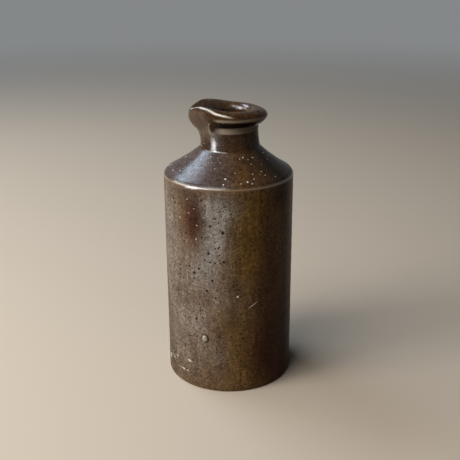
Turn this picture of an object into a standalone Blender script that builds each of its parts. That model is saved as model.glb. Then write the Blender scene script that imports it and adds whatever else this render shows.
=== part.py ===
# Brown salt-glazed stoneware bottle with a pulled pouring lip, and the cork driven into its neck.
# Metres, +Z up. The origin is the centre of the foot, and the spout points along -X.
import math

import bmesh
import bpy

# Body: a thrown wall with a foot ring, and a disc for a floor inside it
BODY_RADIUS = 0.0350
BODY_HEIGHT = 0.1171        # foot to the corner where the wall and the shoulder would meet
WALL = 0.0055
FOOT_ROUND = 0.0012
LEDGE_WIDTH = 0.0030        # the foot ring reaches in under the floor by this much
LEDGE_HEIGHT = 0.0032
FLOOR_THICKNESS = 0.0040    # of the floor above the ledge
FLOOR_RECESS = 0.0008       # the underside of the floor stays clear of the table

# Shoulder: a cone with a rounded corner at the wall
SHOULDER_RISE = 0.0130
SHOULDER_WALL = 0.0055
SHOULDER_ROUND = 0.0042
SHOULDER_SAG = 0.0006       # the cone is a little hollow halfway up
SHOULDER_SKIRT = 0.0020     # straight stretch of the shoulder piece below its inner corner

# Neck, with the swelling that the pulled spout leaves on it
NECK_RADIUS = 0.0150        # at the waist
NECK_LENGTH = 0.0110
NECK_WAIST = 0.0082         # height of the waist above the foot of the neck
NECK_HOLLOW = 0.0010        # widening from the waist down to the foot
NECK_OFFSET = 0.0010        # the neck was thrown a little off the centre of the body, away from the spout
NECK_DRAW = 0.0005          # the pull drew the neck out on the side of the spout
NECK_FLARE = 0.0006         # crease where the neck meets the shoulder
NECK_FLARE_HEIGHT = 0.0010
BORE_RADIUS = 0.0100
SPOUT_SWELL = 0.0030        # at the top of the neck, below the spout
SPOUT_SWELL_FADE = 0.0027   # the swelling dies away down the neck over this length

# Lip: a rounded ring on the neck
LIP_HEIGHT = 0.0104
LIP_OVERHANG = 0.0048
LIP_BELLY = 0.0064          # height of the widest point above the neck
LIP_UNDERCUT = 0.0020
LIP_UNDER_BOW = 1.5         # roundness of the ring's underside: 2 is an oval, 1 a straight slope
MOUTH_FLARE = 0.0036        # from the bore out to the crest of the ring
MOUTH_BOW = 2.0
THROAT_HEIGHT = 0.0062      # height of the bore inside the ring
LIP_TILT = 0.0006           # the ring climbs towards the spout

# Spout: two raised cheeks with a channel between them, drawn out at the middle
CHEEK_ANGLE = math.radians(46)
SPOUT_END_ANGLE = math.radians(100)
CHEEK_RISE = 0.0015
CHEEK_OUT = 0.0044
CHEEK_BELLY_IN = 0.0006
CHEEK_BELLY_RISE = 0.0048   # the widest line of the ring climbs to the crest of the cheek
CHEEK_UNDER_BOW = 1.15
TIP_OUT = 0.0067
TIP_DROP = 0.0013
TIP_BELLY_OUT = 0.0023
TIP_UNDERCUT = 0.0004
TIP_UNDER_BOW = 1.15
CHANNEL_DROP = 0.0022       # the channel meets the bore lower than the ring does
CHANNEL_BOW = 1.2

# Cork
CORK_LENGTH = 0.0150
CORK_DEPTH = 0.0085         # from the crest of the ring down to the top of the cork
CORK_TAPER = 0.0007         # loss of radius over the length
CORK_ROUND = 0.0006
CORK_CLEARANCE = 0.0003

# Joints between the clay pieces: a half lap, wetted with slip
LAP = 0.0020
SLIP_GAP = 0.0003

STEPS = 64
ARC_STEPS = 5
SWELL_STEPS = 6
SHARP_ANGLE = math.radians(35)
MERGE = 0.00001

# Heights and radii that follow
INNER_RADIUS = BODY_RADIUS - WALL
NECK_SEAM = BODY_HEIGHT + SHOULDER_RISE
LIP_SEAM = NECK_SEAM + NECK_LENGTH
LIP_TOP = LIP_SEAM + LIP_HEIGHT
CORK_TOP = LIP_TOP - CORK_DEPTH
NECK_FOOT_RADIUS = NECK_RADIUS + NECK_HOLLOW + NECK_FLARE
SHOULDER_SLOPE = math.atan2(SHOULDER_RISE, BODY_RADIUS - NECK_FOOT_RADIUS)
INNER_CORNER = BODY_HEIGHT + WALL * math.tan(SHOULDER_SLOPE) - SHOULDER_WALL / math.cos(SHOULDER_SLOPE)
SHOULDER_SEAM = INNER_CORNER - SHOULDER_SKIRT - LAP - SLIP_GAP
WALL_LAP_RADIUS = BODY_RADIUS - WALL / 2
NECK_LAP_RADIUS = (BORE_RADIUS + NECK_RADIUS) / 2

# colour, roughness
GLAZE_DARK = ((0.060, 0.034, 0.021, 1.0), 0.18)
GLAZE_BROWN = ((0.085, 0.058, 0.036, 1.0), 0.32)
BARE_CLAY = ((0.240, 0.150, 0.085, 1.0), 0.75)
CORK_BROWN = ((0.360, 0.210, 0.105, 1.0), 0.85)


def clear_scene():
    for obj in list(bpy.data.objects):
        bpy.data.objects.remove(obj, do_unlink=True)


def finish_material(name, finish):
    colour, roughness = finish
    material = bpy.data.materials.new(name)
    material.use_nodes = True
    shader = material.node_tree.nodes["Principled BSDF"]
    shader.inputs["Base Color"].default_value = colour
    shader.inputs["Roughness"].default_value = roughness
    shader.inputs["Metallic"].default_value = 0.0
    return material


def quarter(start, end, corner, bow=2.0):
    """Points of a quarter oval from start to end, bulging towards corner; a bow of 1 is a straight line."""
    points = []
    for step in range(ARC_STEPS + 1):
        turn = math.pi / 2 * step / ARC_STEPS
        from_start = 1 - math.cos(turn) ** (2 / bow) if step < ARC_STEPS else 1.0
        to_corner = math.sin(turn) ** (2 / bow) if step else 0.0
        r = start[0] + (corner[0] - start[0]) * to_corner + (end[0] - corner[0]) * from_start
        z = start[1] + (corner[1] - start[1]) * to_corner + (end[1] - corner[1]) * from_start
        points.append((r, z))
    return points


def smooth(amount):
    amount = min(max(amount, 0.0), 1.0)
    return amount * amount * (3 - 2 * amount)


def mix(a, b, amount):
    return a + (b - a) * amount


def place(collection, name, mesh, finish):
    obj = bpy.data.objects.new(name, mesh)
    mesh.materials.append(finish_material(name + "_finish", finish))
    collection.objects.link(obj)
    return obj


def turned(collection, name, profile, finish):
    """A closed profile of (radius, height), run down its outer side, turned about +Z."""
    mesh = bpy.data.meshes.new(name)
    edges = [(i, (i + 1) % len(profile)) for i in range(len(profile))]
    mesh.from_pydata([(r, 0.0, z) for r, z in profile], edges, [])
    obj = place(collection, name, mesh, finish)
    screw = obj.modifiers.new("turn", "SCREW")
    screw.steps = STEPS
    screw.render_steps = STEPS
    screw.use_merge_vertices = True
    screw.merge_threshold = MERGE
    screw.use_smooth_shade = True
    return obj


def lofted(collection, name, section_at, drift_at, finish):
    """A ring whose section changes with the angle from the spout, and whose centre drifts along +X."""
    shape = bmesh.new()
    rings = []
    for step in range(STEPS):
        angle = 2 * math.pi * step / STEPS
        section = section_at(math.atan2(math.sin(angle), math.cos(angle)))
        ring = []
        for r, z in section:
            ring.append(shape.verts.new((drift_at(r) - r * math.cos(angle), -r * math.sin(angle), z)))
        rings.append(ring)
    for step in range(STEPS):
        here = rings[step]
        there = rings[(step + 1) % STEPS]
        for i in range(len(here)):
            j = (i + 1) % len(here)
            shape.faces.new((here[i], here[j], there[j], there[i]))
    bmesh.ops.recalc_face_normals(shape, faces=shape.faces)
    mesh = bpy.data.meshes.new(name)
    shape.to_mesh(mesh)
    shape.free()
    mesh.shade_smooth()
    mesh.set_sharp_from_angle(angle=SHARP_ANGLE)
    return place(collection, name, mesh, finish)


def tongue(seam, lap_radius, bore):
    """Top of the lower piece of a half lap, from its inner edge out to the step."""
    return [(bore, seam + LAP), (lap_radius - SLIP_GAP, seam + LAP), (lap_radius - SLIP_GAP, seam)]


def socket(seam, lap_radius, bore):
    """Foot of the upper piece of a half lap, from the step in to its inner edge."""
    roof = seam + LAP + SLIP_GAP
    return [(lap_radius, seam + SLIP_GAP), (lap_radius, roof), (bore, roof)]


def body_wall(collection):
    foot_start = (BODY_RADIUS, FOOT_ROUND)
    foot_end = (BODY_RADIUS - FOOT_ROUND, 0.0)
    ledge_radius = INNER_RADIUS - LEDGE_WIDTH
    profile = tongue(SHOULDER_SEAM, WALL_LAP_RADIUS, INNER_RADIUS)
    profile.append((BODY_RADIUS, SHOULDER_SEAM))
    profile += quarter(foot_start, foot_end, (BODY_RADIUS, 0.0))
    profile += [(ledge_radius, 0.0), (ledge_radius, LEDGE_HEIGHT), (INNER_RADIUS, LEDGE_HEIGHT)]
    return turned(collection, "body_wall", profile, GLAZE_BROWN)


def floor_disc(collection):
    flange = INNER_RADIUS - SLIP_GAP
    plug = INNER_RADIUS - LEDGE_WIDTH - SLIP_GAP
    seat = LEDGE_HEIGHT + SLIP_GAP
    top = seat + FLOOR_THICKNESS
    profile = [(0.0, top), (flange, top), (flange, seat), (plug, seat)]
    profile += [(plug, FLOOR_RECESS), (0.0, FLOOR_RECESS)]
    return turned(collection, "floor_disc", profile, BARE_CLAY)


def shoulder(collection):
    tangent = SHOULDER_ROUND * math.tan((math.pi / 2 - SHOULDER_SLOPE) / 2)
    back = tangent * math.cos(SHOULDER_SLOPE)
    up = tangent * math.sin(SHOULDER_SLOPE)
    on_cone = (BODY_RADIUS - back, BODY_HEIGHT + up)
    on_wall = (BODY_RADIUS, BODY_HEIGHT - tangent)
    inner_top = INNER_CORNER + (INNER_RADIUS - BORE_RADIUS) * math.tan(SHOULDER_SLOPE)
    profile = tongue(NECK_SEAM, NECK_LAP_RADIUS, BORE_RADIUS)
    for step in range(ARC_STEPS):
        share = step / ARC_STEPS
        hollow = SHOULDER_SAG * 4 * share * (1 - share)
        profile.append((mix(NECK_FOOT_RADIUS, on_cone[0], share), mix(NECK_SEAM, on_cone[1], share) - hollow))
    profile += quarter(on_cone, on_wall, (BODY_RADIUS, BODY_HEIGHT))
    profile.append((BODY_RADIUS, SHOULDER_SEAM + SLIP_GAP))
    profile += socket(SHOULDER_SEAM, WALL_LAP_RADIUS, INNER_RADIUS)
    profile += [(INNER_RADIUS, INNER_CORNER), (BORE_RADIUS, inner_top)]

    def drift(r):
        inward = (INNER_RADIUS - r) / (INNER_RADIUS - NECK_FOOT_RADIUS)
        return NECK_OFFSET * min(max(inward, 0.0), 1.0)

    return lofted(collection, "shoulder", lambda angle: profile, drift, GLAZE_BROWN)


def spout_weights(angle):
    """How much of the tip and of the cheek the lip has at an angle from the spout; the rest is ring."""
    turn = abs(angle)
    if turn < CHEEK_ANGLE:
        cheek = smooth(turn / CHEEK_ANGLE)
        return 1 - cheek, cheek
    cheek = 1 - smooth((turn - CHEEK_ANGLE) / (SPOUT_END_ANGLE - CHEEK_ANGLE))
    return 0.0, cheek


def neck_radius(angle, height):
    """Outer radius of the neck, with its waist, its flared foot and what the pulled spout added to it."""
    above_foot = height - NECK_SEAM
    radius = NECK_RADIUS + NECK_HOLLOW * (1 - above_foot / NECK_WAIST) ** 2
    if above_foot < NECK_FLARE_HEIGHT:
        radius += NECK_FLARE * (1 - above_foot / NECK_FLARE_HEIGHT) ** 2
    radius += NECK_DRAW * max(math.cos(angle), 0.0) * smooth(above_foot / NECK_WAIST)
    tip = spout_weights(angle)[0]
    return radius + SPOUT_SWELL * tip * math.exp((height - LIP_SEAM) / SPOUT_SWELL_FADE)


def neck(collection):
    foot = NECK_SEAM + SLIP_GAP
    flare_top = NECK_SEAM + NECK_FLARE_HEIGHT
    heights = [mix(LIP_SEAM, flare_top, step / SWELL_STEPS) for step in range(SWELL_STEPS)]
    heights += [mix(flare_top, foot, step / ARC_STEPS) for step in range(ARC_STEPS + 1)]

    def section(angle):
        points = tongue(LIP_SEAM, NECK_LAP_RADIUS, BORE_RADIUS)
        points += [(neck_radius(angle, height), height) for height in heights]
        points += socket(NECK_SEAM, NECK_LAP_RADIUS, BORE_RADIUS)
        return points

    return lofted(collection, "neck", section, lambda r: NECK_OFFSET, GLAZE_DARK)


def pouring_lip(collection):
    crest_radius = BORE_RADIUS + MOUTH_FLARE
    belly_radius = NECK_RADIUS + LIP_OVERHANG
    throat = LIP_SEAM + THROAT_HEIGHT

    def section(angle):
        tip, cheek = spout_weights(angle)
        rise = CHEEK_RISE * cheek - TIP_DROP * tip + LIP_TILT * math.cos(angle)
        crest = (crest_radius + CHEEK_OUT * cheek + TIP_OUT * tip, LIP_TOP + rise)
        belly_height = LIP_SEAM + LIP_BELLY + CHEEK_BELLY_RISE * cheek
        belly = (belly_radius - CHEEK_BELLY_IN * cheek + TIP_BELLY_OUT * tip, belly_height)
        foot = LIP_SEAM + SLIP_GAP
        under = (neck_radius(angle, LIP_SEAM), foot + mix(LIP_UNDERCUT, TIP_UNDERCUT, tip))
        inside = (BORE_RADIUS, throat - CHANNEL_DROP * tip)
        points = quarter(crest, belly, (belly[0], crest[1]))
        under_bow = mix(mix(LIP_UNDER_BOW, TIP_UNDER_BOW, tip), CHEEK_UNDER_BOW, cheek)
        points += quarter(belly, under, (belly[0], under[1]), under_bow)[1:]
        points.append((under[0], foot))
        points += socket(LIP_SEAM, NECK_LAP_RADIUS, BORE_RADIUS)
        points += quarter(inside, crest, (inside[0], crest[1]), mix(MOUTH_BOW, CHANNEL_BOW, tip))[:-1]
        return points

    return lofted(collection, "pouring_lip", section, lambda r: NECK_OFFSET, GLAZE_DARK)


def cork_stopper(collection):
    top_radius = BORE_RADIUS - CORK_CLEARANCE
    foot_radius = top_radius - CORK_TAPER
    foot = CORK_TOP - CORK_LENGTH
    profile = [(0.0, CORK_TOP), (top_radius - CORK_ROUND, CORK_TOP), (top_radius, CORK_TOP - CORK_ROUND)]
    profile += [(foot_radius, foot + CORK_ROUND), (foot_radius - CORK_ROUND, foot), (0.0, foot)]
    cork = turned(collection, "cork_stopper", profile, CORK_BROWN)
    cork.location.x = NECK_OFFSET
    return cork


def main():
    clear_scene()
    bottle = bpy.data.collections.new("stoneware_bottle")
    bpy.context.scene.collection.children.link(bottle)
    body_wall(bottle)
    floor_disc(bottle)
    shoulder(bottle)
    neck(bottle)
    pouring_lip(bottle)
    cork_stopper(bottle)


main()
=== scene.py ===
import math
import random
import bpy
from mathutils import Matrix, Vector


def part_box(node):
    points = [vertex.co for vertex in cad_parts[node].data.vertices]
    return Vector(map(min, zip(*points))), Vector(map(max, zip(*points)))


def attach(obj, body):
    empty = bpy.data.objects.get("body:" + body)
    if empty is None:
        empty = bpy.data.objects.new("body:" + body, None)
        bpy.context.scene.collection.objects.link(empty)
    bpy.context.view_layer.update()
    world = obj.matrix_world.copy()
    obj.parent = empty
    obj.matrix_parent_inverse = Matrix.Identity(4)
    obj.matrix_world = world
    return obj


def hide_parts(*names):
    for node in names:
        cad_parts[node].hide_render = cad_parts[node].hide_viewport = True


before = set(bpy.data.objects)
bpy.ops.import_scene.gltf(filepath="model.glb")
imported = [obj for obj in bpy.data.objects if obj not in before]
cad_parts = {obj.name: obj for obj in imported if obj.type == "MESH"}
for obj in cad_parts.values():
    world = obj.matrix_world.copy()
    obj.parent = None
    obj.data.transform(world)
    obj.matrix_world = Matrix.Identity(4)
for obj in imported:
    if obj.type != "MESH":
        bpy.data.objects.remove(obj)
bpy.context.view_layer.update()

from types import SimpleNamespace as Spec

import bpy
import numpy as np
from mathutils import Matrix, Vector, kdtree, noise

print("frame loaded:", ", ".join(sorted(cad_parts)))

# sizes that the pieces share, in metres; the spout points along -X
bottle = Spec(
    radius=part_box("body_wall")[1][0],
    inner=0.0295,            # radius of the hollow
    bore=0.0100,             # round hole that the cork sits in
    neckOffset=0.0010,       # the neck sits a little off centre
    lap=0.0020,              # half laps between the clay pieces
    slip=0.0003,
    steps=256,               # columns round the bottle
)
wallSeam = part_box("body_wall")[1][2] - bottle.lap
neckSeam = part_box("shoulder")[1][2] - bottle.lap
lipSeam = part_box("neck")[1][2] - bottle.lap
wallLap = (bottle.radius + bottle.inner) / 2
neckRadius = 0.0150          # at the waist
neckLap = (bottle.bore + neckRadius) / 2


def mix(a, b, amount):
    return a + (b - a) * amount


# point on the way from one point of a section to another
def between(start, end, amount):
    return mix(start[0], end[0], amount), mix(start[1], end[1], amount)


def smooth(amount):
    amount = min(max(amount, 0.0), 1.0)
    return amount * amount * (3 - 2 * amount)


def hump(away, wide):
    return math.exp(-(away / wide) ** 2)


def around(turn, r, z):
    return Vector((r * math.cos(turn), r * math.sin(turn), z))


def deselect():
    if bpy.context.object and bpy.context.object.mode != "OBJECT":
        bpy.ops.object.mode_set(mode="OBJECT")
    bpy.ops.object.select_all(action="DESELECT")


def pick(obj):
    deselect()
    obj.select_set(True)
    bpy.context.view_layer.objects.active = obj


# one row of three numbers for each item of a mesh
def readRows(items, name):
    values = np.empty(len(items) * 3)
    items.foreach_get(name, values)
    return values.reshape(-1, 3)


# quarter oval from start to end that bulges to the corner; bow 1 is a straight line
def quarter(start, end, corner, bow, count):
    points = []
    for step in range(count + 1):
        turn = math.pi / 2 * step / count
        fromStart = 1 - math.cos(turn) ** (2 / bow) if step < count else 1.0
        toCorner = math.sin(turn) ** (2 / bow) if step else 0.0
        points.append(tuple(s + (c - s) * toCorner + (e - c) * fromStart
                            for s, c, e in zip(start, corner, end)))
    return points


def line(start, end, count):
    return [between(start, end, i / count) for i in range(count + 1)]


def skin(points, weight=1.0):
    return [(r, z, weight) for r, z in points]


# upper end of a half lap, from the hollow out to the step
def tongue(seam, lapRadius, inner):
    side = lapRadius - bottle.slip
    return skin([(inner, seam + bottle.lap), (side, seam + bottle.lap), (side, seam)], 0.0)


# lower end of a half lap, from the step in to the hollow
def socket(seam, lapRadius, inner):
    roof = seam + bottle.lap + bottle.slip
    return skin([(lapRadius, seam), (lapRadius, roof), (inner, roof)], 0.0)


# a loop of vertices laid along the section and turned round the axis
def spinChain(name, profile, closed):
    deselect()
    bpy.ops.mesh.primitive_circle_add(vertices=len(profile), radius=0.01)
    obj = bpy.context.object
    obj.name = name
    obj.data.name = name
    for vert, (r, z, weight) in zip(obj.data.vertices, profile):
        vert.co = (r, 0, z)
    last = len(profile) - 1
    for edge in obj.data.edges:
        edge.select = set(edge.vertices) == {0, last}
    for vert in obj.data.vertices:
        vert.select = vert.index in (0, last)
    bpy.ops.object.mode_set(mode="EDIT")
    bpy.ops.mesh.select_mode(type="EDGE")
    if not closed:
        bpy.ops.mesh.delete(type="EDGE")    # an open section keeps no edge along the axis
    bpy.ops.object.mode_set(mode="OBJECT")
    turn = obj.modifiers.new("turn", "SCREW")
    turn.steps = turn.render_steps = bottle.steps
    turn.use_merge_vertices = True
    turn.merge_threshold = 0.000002
    bpy.ops.object.modifier_apply(modifier=turn.name)
    bpy.ops.object.mode_set(mode="EDIT")
    bpy.ops.mesh.select_all(action="SELECT")
    bpy.ops.mesh.remove_doubles(threshold=0.000002)
    bpy.ops.mesh.normals_make_consistent(inside=False)
    bpy.ops.object.mode_set(mode="OBJECT")
    return obj


# turns the plain section, then gives every column its own section, centre and relief
def throwPiece(name, sectionAt, driftAt, reliefAt, closed=True):
    plain = sectionAt(math.pi)
    obj = spinChain(name, plain, closed)
    tree = kdtree.KDTree(len(plain))
    for index, (r, z, weight) in enumerate(plain):
        tree.insert((r, z, 0), index)
    tree.balance()
    columns = {}
    for vert in obj.data.vertices:
        r = math.hypot(vert.co.x, vert.co.y)
        angle = math.atan2(-vert.co.y, -vert.co.x)
        index = tree.find((r, vert.co.z, 0))[1]
        column = round(angle / (2 * math.pi) * bottle.steps) % bottle.steps
        if column not in columns:
            columns[column] = outward(sectionAt(angle))
        r, z, weight, outR, outZ = columns[column][index]
        place = Vector((driftAt(r, z) - r * math.cos(angle), -r * math.sin(angle), z))
        if weight > 0:
            rise = weight * reliefAt(place, angle)
            place += rise * around(angle, -outR, outZ)
        vert.co = place
    pick(obj)
    bpy.ops.object.shade_smooth_by_angle(angle=math.radians(40))
    print(name, "thrown:", len(obj.data.polygons), "faces")
    return obj


# adds the outward direction to each point of a section that runs down its outer side
def outward(section):
    points = []
    last = len(section) - 1
    for index, (r, z, weight) in enumerate(section):
        before = section[index - 1] if index and section[index - 1][2] > 0 else section[index]
        after = section[index + 1] if index < last and section[index + 1][2] > 0 else section[index]
        along = Vector((after[0] - before[0], after[1] - before[1]))
        if along.length > 0:
            along.normalize()
        points.append((r, z, weight, -along.y, along.x))
    return points


# clay surface: dents from the hands, throwing rings and the pebbled salt glaze
thrown = Spec(dent=0.00010, ring=0.00003, ringPitch=0.0071, peel=0.000022, inset=0.00005, most=0.0)


def bodyRelief(place, angle):
    lump = noise.noise(around(angle, 1.1, place.z * 16))
    ring = math.sin(2 * math.pi * place.z / thrown.ringPitch + 2.2 * noise.noise(place * 11))
    peel = noise.noise(place * 640) + 0.7 * noise.noise(place * 350 + Vector((3, 7, 1)))
    rise = thrown.dent * lump + thrown.ring * ring + thrown.peel * peel - thrown.inset
    return min(rise, thrown.most)


# wall from the foot ring up to the seam below the shoulder
wall = Spec(rings=146, innerRings=18, footRound=0.0012, ledgeWidth=0.0030, ledgeHeight=0.0032,
            skinRadius=0.0335)    # what lies farther out is glazed skin


def wallSection(angle):
    radius, inner = bottle.radius, bottle.inner
    footRound = wall.footRound
    ledge = inner - wall.ledgeWidth
    points = tongue(wallSeam, wallLap, inner)
    points += skin(line((radius, wallSeam), (radius, footRound), wall.rings))
    points += skin(quarter((radius, footRound), (radius - footRound, 0.0), (radius, 0.0), 2.0, 6)[1:-1], 0.5)
    points += skin(line((radius - footRound, 0.0), (ledge, 0.0), 8), 0.0)
    points += skin([(ledge, wall.ledgeHeight)], 0.0)
    hollow = line((inner, wall.ledgeHeight), (inner, wallSeam + bottle.lap), wall.innerRings)
    points += skin(hollow[:-1], 0.0)
    return points


def noDrift(r, z):
    return 0.0


bodyWall = throwPiece("bodyWall", wallSection, noDrift, bodyRelief)

# cone that closes the body in, with its rounded corner
shoulderCone = Spec(corner=0.1171, neckFoot=0.0166, round=0.0042, thick=0.0055, sag=0.0006,
                    coneRings=46, cornerRings=36, skirtRings=8)
coneSlope = math.atan2(neckSeam - shoulderCone.corner, bottle.radius - shoulderCone.neckFoot)


def shoulderSection(angle):
    radius, inner = bottle.radius, bottle.inner
    tangent = shoulderCone.round * math.tan((math.pi / 2 - coneSlope) / 2)
    corner = (radius, shoulderCone.corner)
    coneEnd = (radius - tangent * math.cos(coneSlope), corner[1] + tangent * math.sin(coneSlope))
    wallEnd = (radius, corner[1] - tangent)
    innerCorner = corner[1] + (radius - inner) * math.tan(coneSlope)
    innerCorner -= shoulderCone.thick / math.cos(coneSlope)
    innerTop = innerCorner + (inner - bottle.bore) * math.tan(coneSlope)
    rings = shoulderCone.coneRings
    cone = line((shoulderCone.neckFoot, neckSeam), coneEnd, rings)
    cone = [(r, z - shoulderCone.sag * 4 * i * (rings - i) / rings ** 2) for i, (r, z) in enumerate(cone)]
    points = tongue(neckSeam, neckLap, bottle.bore)
    points += skin(cone[:1], 0.001) + skin(cone[1:3], 0.5) + skin(cone[3:])
    points += skin(quarter(coneEnd, wallEnd, corner, 2.0, shoulderCone.cornerRings)[1:])
    points += skin(line(wallEnd, (radius, wallSeam), shoulderCone.skirtRings)[1:])
    points += socket(wallSeam, wallLap, inner)
    points += skin(line((inner, innerCorner), (bottle.bore, innerTop), 10), 0.0)
    return points


def shoulderDrift(r, z):
    inward = (bottle.inner - r) / (bottle.inner - shoulderCone.neckFoot)
    return bottle.neckOffset * min(max(inward, 0.0), 1.0)


# the glossy upper glaze ends in a thin roll round the corner
roll = Spec(z=0.1163, wide=0.00072, height=0.00016, waver=0.00016, calm=0.0022, least=0.0325, sheen=0.00082)


def shoulderRelief(place, angle):
    rise = bodyRelief(place, angle)
    if math.hypot(place.x, place.y) < roll.least:
        return rise
    level = roll.z + roll.waver * noise.noise(around(angle, 3, 2))
    rise *= 1 - 0.7 * hump(place.z - level, roll.calm)
    return rise + roll.height * hump(place.z - level, roll.wide)


shoulder = throwPiece("shoulder", shoulderSection, shoulderDrift, shoulderRelief)

# neck: waisted, with the swelling and the finger marks that the pulled spout left
neckPull = Spec(waistAbove=0.0096, hollow=0.0012, crease=0.0005, creaseHeight=0.0010, draw=0.0008,
                swell=0.0030, swellFade=0.0027, rings=40)
lipPull = Spec(
    height=0.0104, overhang=0.0048, belly=0.0064, undercut=0.0020, underBow=1.5,
    mouthFlare=0.0036, mouthBow=2.0, throat=0.0062, tilt=0.0006,
    cheekAngle=math.radians(36), farCheekAngle=math.radians(37), endAngle=math.radians(100),
    cheekRise=0.00143, cheekOut=0.0044, cheekBellyIn=0.0006, cheekBellyRise=0.0050,
    edgeEnd=math.radians(125), edgeBow=1.75,
    rimOut=0.0012, rimDrop=0.0009, rimFrom=math.radians(2), rimOver=math.radians(20),
    tipOut=0.0067, tipDrop=0.0009, tipBellyOut=0.0023, channelDrop=0.0022, channelBow=1.2,
    flowAngle=math.radians(48), flowFade=math.radians(30), topRings=26, underRings=34, mouthRings=20)


def cheekPeak(angle):
    return lipPull.cheekAngle if angle > 0 else lipPull.farCheekAngle


# how far a column belongs to the tip of the spout and to its cheek
def spoutWeights(angle):
    turn = abs(angle)
    peak = cheekPeak(angle)
    if turn < peak:
        cheek = smooth(turn / peak)
        return 1 - cheek, cheek
    return 0.0, 1 - smooth((turn - peak) / (lipPull.endAngle - peak))


def neckOuter(angle, z):
    above = z - neckSeam
    radius = neckRadius + neckPull.hollow * (1 - above / neckPull.waistAbove) ** 2
    if above < neckPull.creaseHeight:
        radius += neckPull.crease * (1 - above / neckPull.creaseHeight) ** 2
    radius += neckPull.draw * max(math.cos(angle), 0.0) ** 3 * smooth(above / neckPull.waistAbove)
    tip = spoutWeights(angle)[0]
    return radius + neckPull.swell * tip * math.exp((z - lipSeam) / neckPull.swellFade)


def neckSection(angle):
    points = tongue(lipSeam, neckLap, bottle.bore)
    heights = [mix(lipSeam, neckSeam, i / neckPull.rings) for i in range(neckPull.rings + 1)]
    points += [(neckOuter(angle, z), z, 1.0 if z > neckSeam + 0.0001 else 0.001) for z in heights]
    points += socket(neckSeam, neckLap, bottle.bore)
    points += skin(line((bottle.bore, neckSeam + bottle.lap + bottle.slip),
                        (bottle.bore, lipSeam + bottle.lap), 8)[1:-1], 0.0)
    return points


# points spread evenly along a path
def even(path, count):
    lengths = [0.0]
    for here, there in zip(path, path[1:]):
        lengths.append(lengths[-1] + math.hypot(there[0] - here[0], there[1] - here[1]))
    points, leg = [], 0
    for step in range(count + 1):
        want = lengths[-1] * step / count
        while leg < len(path) - 2 and lengths[leg + 1] < want:
            leg += 1
        share = (want - lengths[leg]) / max(lengths[leg + 1] - lengths[leg], 1e-9)
        points.append(between(path[leg], path[leg + 1], share))
    return points


# one sweep from the neck out to the belly, with no undercut
def flowing(belly, foot, footSlope, count):
    rise = belly[1] - foot[1]
    points = []
    for step in range(count + 1):
        up = 1 - step / count
        start = (2 * up ** 3 - 3 * up ** 2 + 1) * foot[0] + (up ** 3 - 2 * up ** 2 + up) * rise * footSlope
        points.append((start + (3 * up ** 2 - 2 * up ** 3) * belly[0], foot[1] + rise * up))
    return points


def lipSection(angle):
    tip, cheek = spoutWeights(angle)
    rise = lipPull.cheekRise * cheek - lipPull.tipDrop * tip + lipPull.tilt * math.cos(angle)
    crest = (bottle.bore + lipPull.mouthFlare + lipPull.cheekOut * cheek + lipPull.tipOut * tip,
             lipSeam + lipPull.height + rise)
    turn = abs(angle)
    peak = cheekPeak(angle)
    climb = cheek if turn < peak else 1 - smooth((turn - peak) / (lipPull.edgeEnd - peak))
    bellyOut = lipPull.overhang - lipPull.cheekBellyIn * cheek + lipPull.tipBellyOut * tip
    belly = (neckRadius + bellyOut, lipSeam + lipPull.belly + lipPull.cheekBellyRise * climb)
    if 0 < angle < peak:
        # the near cheek is drawn out to a thin rim
        drawn = smooth((angle - lipPull.rimFrom) / lipPull.rimOver)
        belly = between(belly, (crest[0] + lipPull.rimOut, crest[1] - lipPull.rimDrop), drawn)
    topBow = mix(2.0, lipPull.edgeBow, climb ** 0.5)    # an edge where the pull drew it up
    foot = (neckOuter(angle, lipSeam), lipSeam)
    groove = (foot[0], lipSeam + lipPull.undercut)
    inside = (bottle.bore, lipSeam + lipPull.throat - lipPull.channelDrop * tip)
    beadPath = quarter(belly, groove, (belly[0], groove[1]), lipPull.underBow, 40)
    bead = even(beadPath + line(groove, foot, 10)[1:], lipPull.underRings)
    step = 0.0002
    footSlope = (foot[0] - neckOuter(angle, lipSeam - step)) / step
    flow = even(flowing(belly, foot, footSlope, 50), lipPull.underRings)
    pulled = 1 - smooth((turn - lipPull.flowAngle) / lipPull.flowFade)
    under = [between(a, b, pulled) for a, b in zip(bead, flow)]
    points = skin(even(quarter(crest, belly, (belly[0], crest[1]), topBow, 40), lipPull.topRings))
    points += skin(under[1:])
    points += socket(lipSeam, neckLap, bottle.bore)
    points += skin(line((bottle.bore, lipSeam + bottle.lap + bottle.slip), inside, 5)[1:-1], 0.0)
    mouthBow = mix(lipPull.mouthBow, lipPull.channelBow, tip)
    mouth = quarter(inside, crest, (inside[0], crest[1]), mouthBow, lipPull.mouthRings)
    points += skin(mouth[:-1], 0.0)
    return points


# thumb print beside the spout, folds under it and a burst bubble on the ring
pinch = Spec(
    thumb=Spec(angle=56, radius=0.0156, z=lipSeam + 0.0012, wide=0.0022, tall=0.0027, depth=0.00020,
               printWide=0.0018, printTall=0.0022),
    farThumb=Spec(angle=-56, radius=0.0156, z=lipSeam + 0.0008, wide=0.0026, tall=0.0028, depth=0.00022),
    bubble=Spec(angle=152, radius=0.0165, z=lipSeam + 0.0095, wide=0.0011, tall=0.0010, depth=0.00045),
    facet=Spec(angle=65, wide=12, low=neckSeam + 0.0035, high=neckSeam + 0.0098, end=lipSeam + 0.0012,
               fade=0.0024, depth=0.00032),
    folds=((-34, 0.00016, 3.6), (-17, 0.00022, 3.0), (12, 0.00018, 2.8), (24, 0.00024, 3.0),
           (35, 0.00015, 3.4)),
    foldLow=neckSeam + 0.0010, foldHigh=lipSeam + 0.0045, lowFade=0.005, highFade=0.003,
    dent=0.00006, peel=0.000005)


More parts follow.
